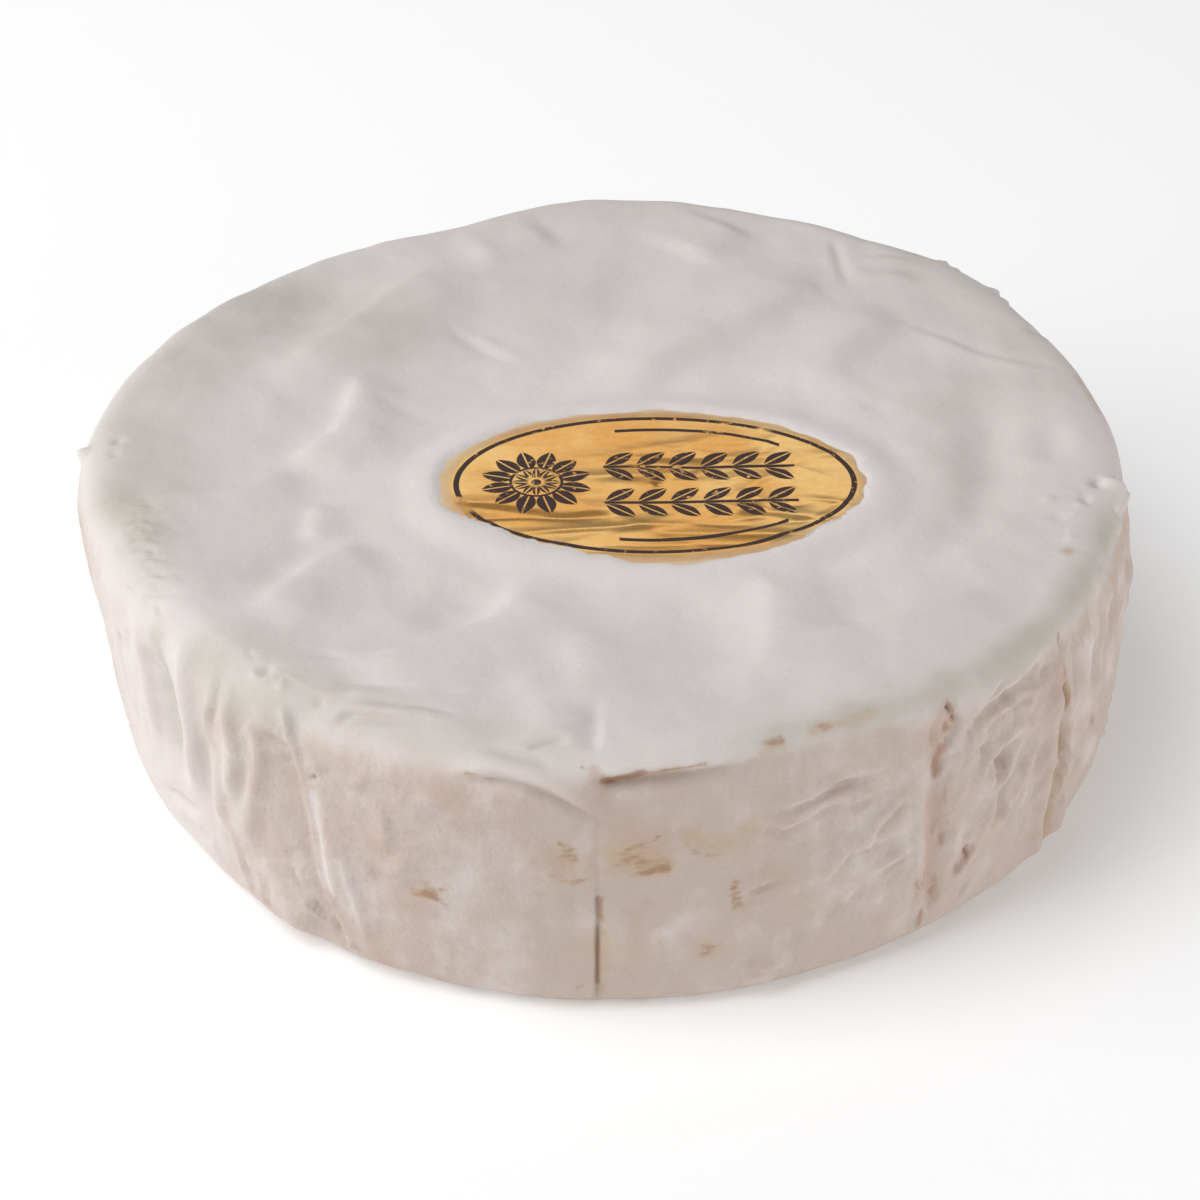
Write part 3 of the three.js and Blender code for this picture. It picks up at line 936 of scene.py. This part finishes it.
for _ in range(30):
    x, y = random.uniform(-30, 30), random.uniform(-20, 14)
    turn = random.normal(0, 0.22)
    height = random.choice([-1, 1]) * random.uniform(0.08, 0.3)
    crinkle += fold_foil(x, y, turn, random.uniform(5, 15), random.uniform(1.1, 2.8), height)
for _ in range(22):
    x, y = random.uniform(8, 31), random.uniform(-16, 12)
    turn = random.normal(0.4, 0.5)
    height = random.choice([-1, 1]) * random.uniform(0.06, 0.2)
    crinkle += fold_foil(x, y, turn, random.uniform(2, 6), random.uniform(0.6, 1.3), height)
crinkle += fold_foil(-20, -9.5, 0.03, 13, 1.5, -0.4)
crinkle += fold_foil(-8, -12.5, 0.1, 12, 1.3, 0.35)
crinkle += fold_foil(20, -9.0, -0.25, 11, 1.5, 0.4)
crinkle += fold_foil(14, -14.5, -0.05, 13, 1.6, 0.3)
crinkle *= 0.7
crinkle -= crinkle.min() * smooth_step(np.abs(on_oval(sheet)[1]) / 3)
sheet[:, 2] = bed_height(sheet) + bed_rise + foil_gap + crinkle
least_gap = 0.04
sheet[:, 2] = np.maximum(sheet[:, 2], bed_height(sheet) + bed_rise + least_gap)
label.data.vertices.foreach_set("co", (sheet * MM).astype(np.float32).ravel())
label.data.update()
print("crinkles from", round(crinkle.min(), 2), "to", round(crinkle.max(), 2), "mm")

# %% Give the foil its thickness
finish_with(label, "SOLIDIFY", thickness=0.06 * MM, offset=1)
work_on(label)
bpy.ops.object.shade_smooth_by_angle(angle=math.radians(50))
print("label", triangles(label), "triangles")

# %% [markdown]
# ## Writing materials as sums
# A material is a network of small nodes, which is slow to read when each node and link has a line
# of its own. Here a wire that leaves a node can be added, multiplied and so on like a number, and
# each sum adds the Math node for it.


# %% A wire, and the recipe it belongs to
class Wire:
    """What comes out of a node. Arithmetic on it adds Math nodes."""

    def __init__(self, recipe, socket):
        self.recipe = recipe
        self.socket = socket

    def also(self, name):
        """Another output of the same node."""
        return Wire(self.recipe, self.socket.node.outputs[name])

    def math(self, operation, *terms):
        return self.recipe.node("Math", {"operation": operation}, dict(enumerate(terms)))

    def __add__(self, other):
        return self.math("ADD", self, other)

    def __radd__(self, other):
        return self.math("ADD", other, self)

    def __sub__(self, other):
        return self.math("SUBTRACT", self, other)

    def __rsub__(self, other):
        return self.math("SUBTRACT", other, self)

    def __mul__(self, other):
        return self.math("MULTIPLY", self, other)

    def __rmul__(self, other):
        return self.math("MULTIPLY", other, self)

    def __truediv__(self, other):
        return self.math("DIVIDE", self, other)

    def __rtruediv__(self, other):
        return self.math("DIVIDE", other, self)

    def __pow__(self, other):
        return self.math("POWER", self, other)

    def __mod__(self, other):
        return self.math("FLOORED_MODULO", self, other)

    def __abs__(self):
        return self.math("ABSOLUTE", self)

    def root(self):
        return self.math("SQRT", self)

    def either(self, other):
        return self.math("MAXIMUM", self, other)


class Recipe:
    """One material, whose nodes are added in the order that they are needed."""

    def __init__(self, name):
        self.material = bpy.data.materials.new(name)
        self.material.use_nodes = True
        self.tree = self.material.node_tree
        self.shader = self.tree.nodes["Principled BSDF"]

    def plug(self, socket, value):
        if isinstance(value, Wire):
            self.tree.links.new(value.socket, socket)
        else:
            socket.default_value = value

    def node(self, kind, settings=None, values=None, out=0):
        """Adds a node: its settings first, then its sockets' values or wires."""
        made = self.tree.nodes.new("ShaderNode" + kind)
        for name, value in (settings or {}).items():
            setattr(made, name, value)
        for name, value in (values or {}).items():
            self.plug(made.inputs[name], value)
        return Wire(self, made.outputs[out])

    def set(self, **values):
        """Sets the shader's own sockets; Base_Color stands for Base Color."""
        for name, value in values.items():
            self.plug(self.shader.inputs[name.replace("_", " ")], value)

    def layer(self, name):
        """A layer that was painted on the piece's points."""
        return self.node("Attribute", {"attribute_name": name}, out="Fac")

    def grain(self, place, size, detail=2.0, **more):
        """Noise with features of this size, which averages 0.5."""
        values = {"Vector": place, "Scale": 1 / size, "Detail": detail, **more}
        return self.node("TexNoise", {}, values)

    def fade(self, value, low, high):
        """0 below low, 1 above high, and smooth between."""
        values = {"Value": value, "From Min": low, "From Max": high}
        return self.node("MapRange", {"interpolation_type": "SMOOTHSTEP"}, values)

    def mix(self, factor, first, second):
        """The first colour where the factor is 0, the second where it is 1."""
        first, second = (c if isinstance(c, Wire) else (*c, 1) for c in (first, second))
        return self.node("Mix", {"data_type": "RGBA"}, {0: factor, 6: first, 7: second}, out=2)

    def bump(self, height, depth, under=None):
        """Makes the surface look raised by height times depth, over an earlier bump."""
        values = {"Height": height, "Distance": depth}
        if under:
            values["Normal"] = under
        return self.node("Bump", {}, values)


# %% [markdown]
# ## The rind
# The rind is a felt of white mould over a tan skin. The felt is thick and grey-white on the top and
# the left, and rubbed thin on the wall, where tan shows through in soft patches. Nothing on it is
# glossy. The painted layers say roughly where each colour goes, and noise of several sizes breaks
# their edges, so that no stain has a drawn outline. Some layers also carry painted light and shade: a
# pale streak on the lit face of the sharp pleat, grey-green in the pleats' hollows, along the edge and
# over parts of the top, and dark brown under the lip. The felt is whitest round the foil. Underneath,
# less of the tan shows, and the mat of reeds that the wheel ripened on has left faint lines.

# %% Colours of the rind
felt = (0.675, 0.622, 0.605)
thick_felt = (0.75, 0.695, 0.675)
skin_tan = (0.545, 0.455, 0.40)
blush_and_shade = (0.52, 0.37, 0.31)
olive_and_shade = (0.49, 0.465, 0.405)
ochre = (0.53, 0.40, 0.27)
brown = (0.34, 0.19, 0.12)

# %% Mix the rind
reed_pitch = 8 * MM
rind = Recipe("white_mould_rind")
place = rind.node("TexCoord", out="Object")
broad = rind.grain(place, 24 * MM, 2)
patchy = rind.grain(place, 7 * MM, 4)
flecks = rind.grain(place, 1.6 * MM, 3)
fuzz = rind.grain(place, 0.5 * MM, 2)
upright = rind.node("Mapping", {}, {"Vector": place, "Scale": (1, 1, 0.35)})
upright_streaks = rind.grain(upright, 2.6 * MM, 4)
worn = rind.layer("tan") * (0.22 + 1.2 * patchy + 0.8 * (broad - 0.5) + 0.7 * (upright_streaks - 0.5))
rubbed = rind.fade(worn + 0.25 * (flecks - 0.5), 0.05, 0.95)
colour = rind.mix(0.9 * rind.layer("thick"), felt, thick_felt)
colour = rind.mix(rubbed, colour, skin_tan)
blotches = rind.fade(rind.grain(place, 9 * MM, 5), 0.52, 0.74) * rind.layer("tan")
# The pink mix carries pink stains and blotches, and the painted shade along the front-left edge.
blush_and_shade_mask = rind.fade(rind.layer("blush_and_shade") * (0.2 + 1.6 * patchy) + 0.7 * blotches, 0.1, 1.0)
colour = rind.mix(0.6 * blush_and_shade_mask, colour, blush_and_shade)
# The grey-green mix is partly the felt's tint and partly painted shade in the pleats' hollows, along the
# edge and over the top.
olive_and_shade_mask = rind.fade(rind.layer("olive_and_shade") * (0.15 + 1.7 * patchy), 0.05, 1.0)
colour = rind.mix(0.75 * olive_and_shade_mask, colour, olive_and_shade)
ochre_mask = rind.fade(rind.layer("ochre") * (0.1 + 1.8 * flecks), 0.1, 1.0)
colour = rind.mix(0.7 * ochre_mask, colour, ochre)
flat = rind.node("Mapping", {}, {"Vector": place, "Scale": (1, 1, 2.8)})
streaks = rind.grain(flat, 2.0 * MM, 4)
stain = rind.layer("stain")
halo = rind.fade(stain + 0.8 * (patchy - 0.5), 0.05, 1.0)
colour = rind.mix(0.45 * halo, colour, ochre)
stain_mask = rind.fade(stain + 2.0 * (streaks - 0.52), 0.3, 1.2) * rind.fade(stain, 0.05, 0.6)
colour = rind.mix(0.75 * stain_mask, colour, brown)
# The dark brown mix carries the browned split, crack and pits, and the painted shadow under the lip.
rust_and_shadow = rind.layer("rust_and_shadow")
rust_and_shadow_mask = rind.fade(rust_and_shadow + 1.1 * (upright_streaks - 0.5), 0.2, 1.1) * rind.fade(rust_and_shadow, 0.05, 0.4)
colour = rind.mix(0.85 * rust_and_shadow_mask, colour, brown)
shade = 0.93 + 0.1 * fuzz + 0.06 * (patchy - 0.5)
shade = rind.node("CombineColor", {}, {0: shade, 1: shade, 2: shade})
tint = {"data_type": "RGBA", "blend_type": "MULTIPLY"}
colour = rind.node("Mix", tint, {0: 1.0, 6: colour, 7: shade}, out=2)
thin_felt = 0.3 + 0.7 * rind.layer("tan")
lumps = rind.bump(rind.grain(place, 3.2 * MM, 3) * thin_felt, 0.35 * MM)
nap = rind.bump(rind.grain(place, 0.8 * MM, 3) * thin_felt, 0.10 * MM, lumps)
bowed = rind.node("SeparateXYZ", {}, {0: place}) + 3 * MM * rind.grain(place, 60 * MM, 1)
reeds = rind.node("Math", {"operation": "SINE"}, {0: bowed * (2 * math.pi / reed_pitch)})
nap = rind.bump(reeds * rind.layer("under"), 0.3 * MM, nap)
rind.set(
    Base_Color=colour,
    Roughness=0.82 + 0.12 * patchy,
    Normal=nap,
    Specular_IOR_Level=0.25,
    Subsurface_Weight=0.12,
    Subsurface_Radius=(0.004, 0.002, 0.0012),
    Subsurface_Scale=1.0,
)
wheel.data.materials.clear()
wheel.data.materials.append(rind.material)
print("rind", len(rind.tree.nodes), "nodes")

# %% [markdown]
# ## The printed foil
# The lacquer makes the foil gold, and the print is a dark brown ink that hides the metal. The print
# is plain ornament: a ring inside the edge, two arcs, a rosette and two sprigs of leaves. Each is
# a short formula in millimetres from the label's middle, so its edges stay crisp at any distance.

# %% Measure the foil in millimetres
foil = Recipe("printed_gold_foil")
object_place = foil.node("TexCoord", out="Object")
placing = {"Vector": object_place, "Location": (*label_centre[:2], 0)}
placing.update({"Rotation": (0, 0, label_turn), "Scale": (MM, MM, MM)})
on_foil = foil.node("Mapping", {"vector_type": "TEXTURE"}, placing)
east = foil.node("SeparateXYZ", {}, {0: on_foil})
north = east.also("Y")
share = ((east / label_half.x) ** 2 + (north / label_half.y) ** 2).root()
slope = ((east / label_half.x**2) ** 2 + (north / label_half.y**2) ** 2).root()
from_edge = share * (1 - share) / (slope + 1e-4)
crisp = 0.06


def ink_where(depth):
    """Ink where depth is above 0, in millimetres, with a crisp edge."""
    return foil.fade(depth, -crisp, crisp)


# %% The ring, and two short arcs inside it
ring = ink_where(0.45 - abs(from_edge - 3.3))
ring = ring * foil.fade(foil.grain(on_foil, 9, 3), 0.28, 0.38)
arcs = ink_where(0.42 - abs(from_edge - 6.6)) * ink_where(13 - abs(east - 7))


# %% A leaf, the two sprigs and the rosette
def leaf(along, across, half_length, half_width):
    """A pointed leaf with a bare rib down its middle."""
    blade = half_width * (1 - (along / half_length) ** 2) - abs(across)
    return ink_where(blade) * ink_where(abs(across) - 0.13)


def sprig(level, start, end, spacing):
    """A stem along the label, with a leaf up and a leaf down at each spacing."""
    up = abs(north - level)
    step = (east - start) % spacing
    lean = math.radians(38)
    along = (step - spacing / 2) * math.cos(lean) + (up - 2.2) * math.sin(lean)
    across = (up - 2.2) * math.cos(lean) - (step - spacing / 2) * math.sin(lean)
    leaves = leaf(along, across, 2.9, 1.3)
    stem = ink_where(0.38 - up)
    span = ink_where((end - start) / 2 - abs(east - (start + end) / 2))
    return leaves.either(stem) * span


upper_sprig = sprig(4.8, -8.0, 22.0, 5.0)
lower_sprig = sprig(-5.2, -8.0, 22.0, 5.0)
from_rosette = ((east + 18.5) ** 2 + (north - 0.6) ** 2).root()
turn_round = foil.node("Math", {"operation": "ARCTAN2"}, {0: north - 0.6, 1: east + 18.5})
petals = 12
petal_turn = 2 * math.pi / petals
beside_petal = (turn_round % petal_turn - petal_turn / 2) * from_rosette
outer_petals = leaf(from_rosette - 6.2, beside_petal, 2.7, 1.5)
inner_beside = ((turn_round + petal_turn / 2) % petal_turn - petal_turn / 2) * from_rosette
inner_petals = leaf(from_rosette - 2.5, inner_beside, 1.5, 0.6)
hub = ink_where(0.8 - from_rosette)
rosette = outer_petals.either(inner_petals).either(hub)
rosette = rosette.either(ink_where(0.25 - abs(from_rosette - 4.0)))
printed = ring.either(arcs).either(upper_sprig).either(lower_sprig).either(rosette)

# %% Rub the print a little, and let the mould veil the foil
rub = foil.grain(on_foil, 1.1, 4)
printed = printed * foil.fade(rub + 0.35 * foil.grain(on_foil, 9, 2), 0.42, 0.58)
veil = foil.layer("veil")
veil_grain = foil.grain(on_foil, 1.8, 5)
veiled = foil.fade(veil + 1.3 * (veil_grain - 0.5), 0.25, 0.75)
outer_band = foil.fade(3.0 - from_edge + 1.2 * (veil_grain - 0.5), 0, 1.4)
outermost = foil.fade(1.4 - from_edge + 1.6 * (veil_grain - 0.5), 0, 1.2)
veiled = veiled.either(0.35 * outer_band + 0.4 * outermost)

# %% Mix the foil
pale_gold = (0.95, 0.60, 0.22)
deep_gold = (0.86, 0.44, 0.12)
ink = (0.036, 0.014, 0.010)
gold = foil.mix(foil.fade(foil.grain(on_foil, 14, 3), 0.35, 0.65), pale_gold, deep_gold)
gold = foil.mix(printed, gold, ink)
stretched = foil.node("Mapping", {}, {"Vector": on_foil, "Scale": (0.4, 1, 1)})
wrinkles = foil.bump(foil.grain(stretched, 4.5, 2), 0.12 * MM)
foil.set(
    Base_Color=foil.mix(veiled, gold, (0.66, 0.60, 0.53)),
    Metallic=(1 - veiled) * (1 - printed),
    Roughness=0.23 + 0.10 * rub + 0.5 * veiled + 0.35 * printed,
    Normal=wrinkles,
)
label.data.materials.clear()
label.data.materials.append(foil.material)
veil_points = np.zeros(len(label.data.vertices) * 3, np.float32)
label.data.vertices.foreach_get("co", veil_points)
veil_points = veil_points.reshape(-1, 3).astype(float) / MM
veil_angle, veil_inside = on_oval(veil_points)
veil_amount = smooth_step((creep(veil_angle) + 0.9 - veil_inside) / 1.8)
veil_layer = label.data.attributes.new("veil", "FLOAT", "POINT")
veil_layer.data.foreach_set("value", veil_amount.astype(np.float32))
print("foil", len(foil.tree.nodes), "nodes")

# %% [markdown]
# ## Floor and light
# The wheel lies on a plain near-white floor. A large soft key light stands at the left, so the right
# of the wall falls into a gentle shade. A second panel hangs overhead and a weak one stands behind.
# A warm panel at the right fills the wall in front, and a low narrow card beside it lights only the
# right of the wall, because from so low it can't reach the top.


# %% The floor
bpy.ops.object.select_all(action="DESELECT")
bpy.ops.mesh.primitive_plane_add(size=6, location=(0, 0, 0))
floor = bpy.context.object
floor.name = "floor"
paper = Recipe("pale_floor")
paper.set(Base_Color=(0.88, 0.88, 0.88, 1), Roughness=0.9, Specular_IOR_Level=0.1)
paper.set(Emission_Color=(1, 1, 1, 1), Emission_Strength=0.2)
floor.data.materials.append(paper.material)


# %% The lights
def soft_light(name, place, width, height, power, colour):
    """A panel that faces the middle of the wheel."""
    panel = bpy.data.lights.new(name, "AREA")
    panel.shape = "RECTANGLE"
    panel.size = width
    panel.size_y = height
    panel.energy = power
    panel.color = colour
    lamp = bpy.data.objects.new(name, panel)
    bpy.context.scene.collection.objects.link(lamp)
    lamp.location = place
    toward = Vector((0, 0, 25 * MM)) - Vector(place)
    lamp.rotation_euler = toward.to_track_quat("-Z", "Y").to_euler()


soft_light("key_left", (-1.4, -0.35, 0.6), 1.1, 1.1, 14, (1.0, 0.985, 0.97))
soft_light("overhead", (-0.6, -0.2, 1.35), 0.9, 0.9, 11, (0.97, 0.985, 1.0))
soft_light("back_strip", (0.0, 1.3, 1.0), 1.6, 0.5, 2.3, (1.0, 1.0, 1.0))
soft_light("right_front", (1.1, -1.0, 0.4), 1.4, 0.9, 4, (1.0, 0.965, 0.94))
soft_light("low_right", (0.85, -0.35, 0.02), 0.5, 0.03, 2.1, (1.0, 0.975, 0.955))
world = bpy.data.worlds.new("pale_room")
world.use_nodes = True
room = world.node_tree.nodes["Background"]
room.inputs["Color"].default_value = (1, 1, 1, 1)
room.inputs["Strength"].default_value = 0.22
bpy.context.scene.world = world
bpy.context.scene.view_settings.view_transform = "Standard"

# %% [markdown]
# ## Handing over
# Each finished piece takes the place of its plain solid and rides on the same body. The size of the
# plain solids and of the finished pieces is written down, to compare the two.

# %% Put the pieces in the plain solids' place
for piece, node, slot in ((wheel, "cheese_wheel", "rind"), (label, "foil_label", "gold_foil")):
    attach(piece, "root")
    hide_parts(node)
floor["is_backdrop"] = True
full_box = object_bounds()
grown = [round((high - old_high) / MM, 2) for high, old_high in zip(full_box[1], cad_box[1])]
print("grown by", grown, "mm")
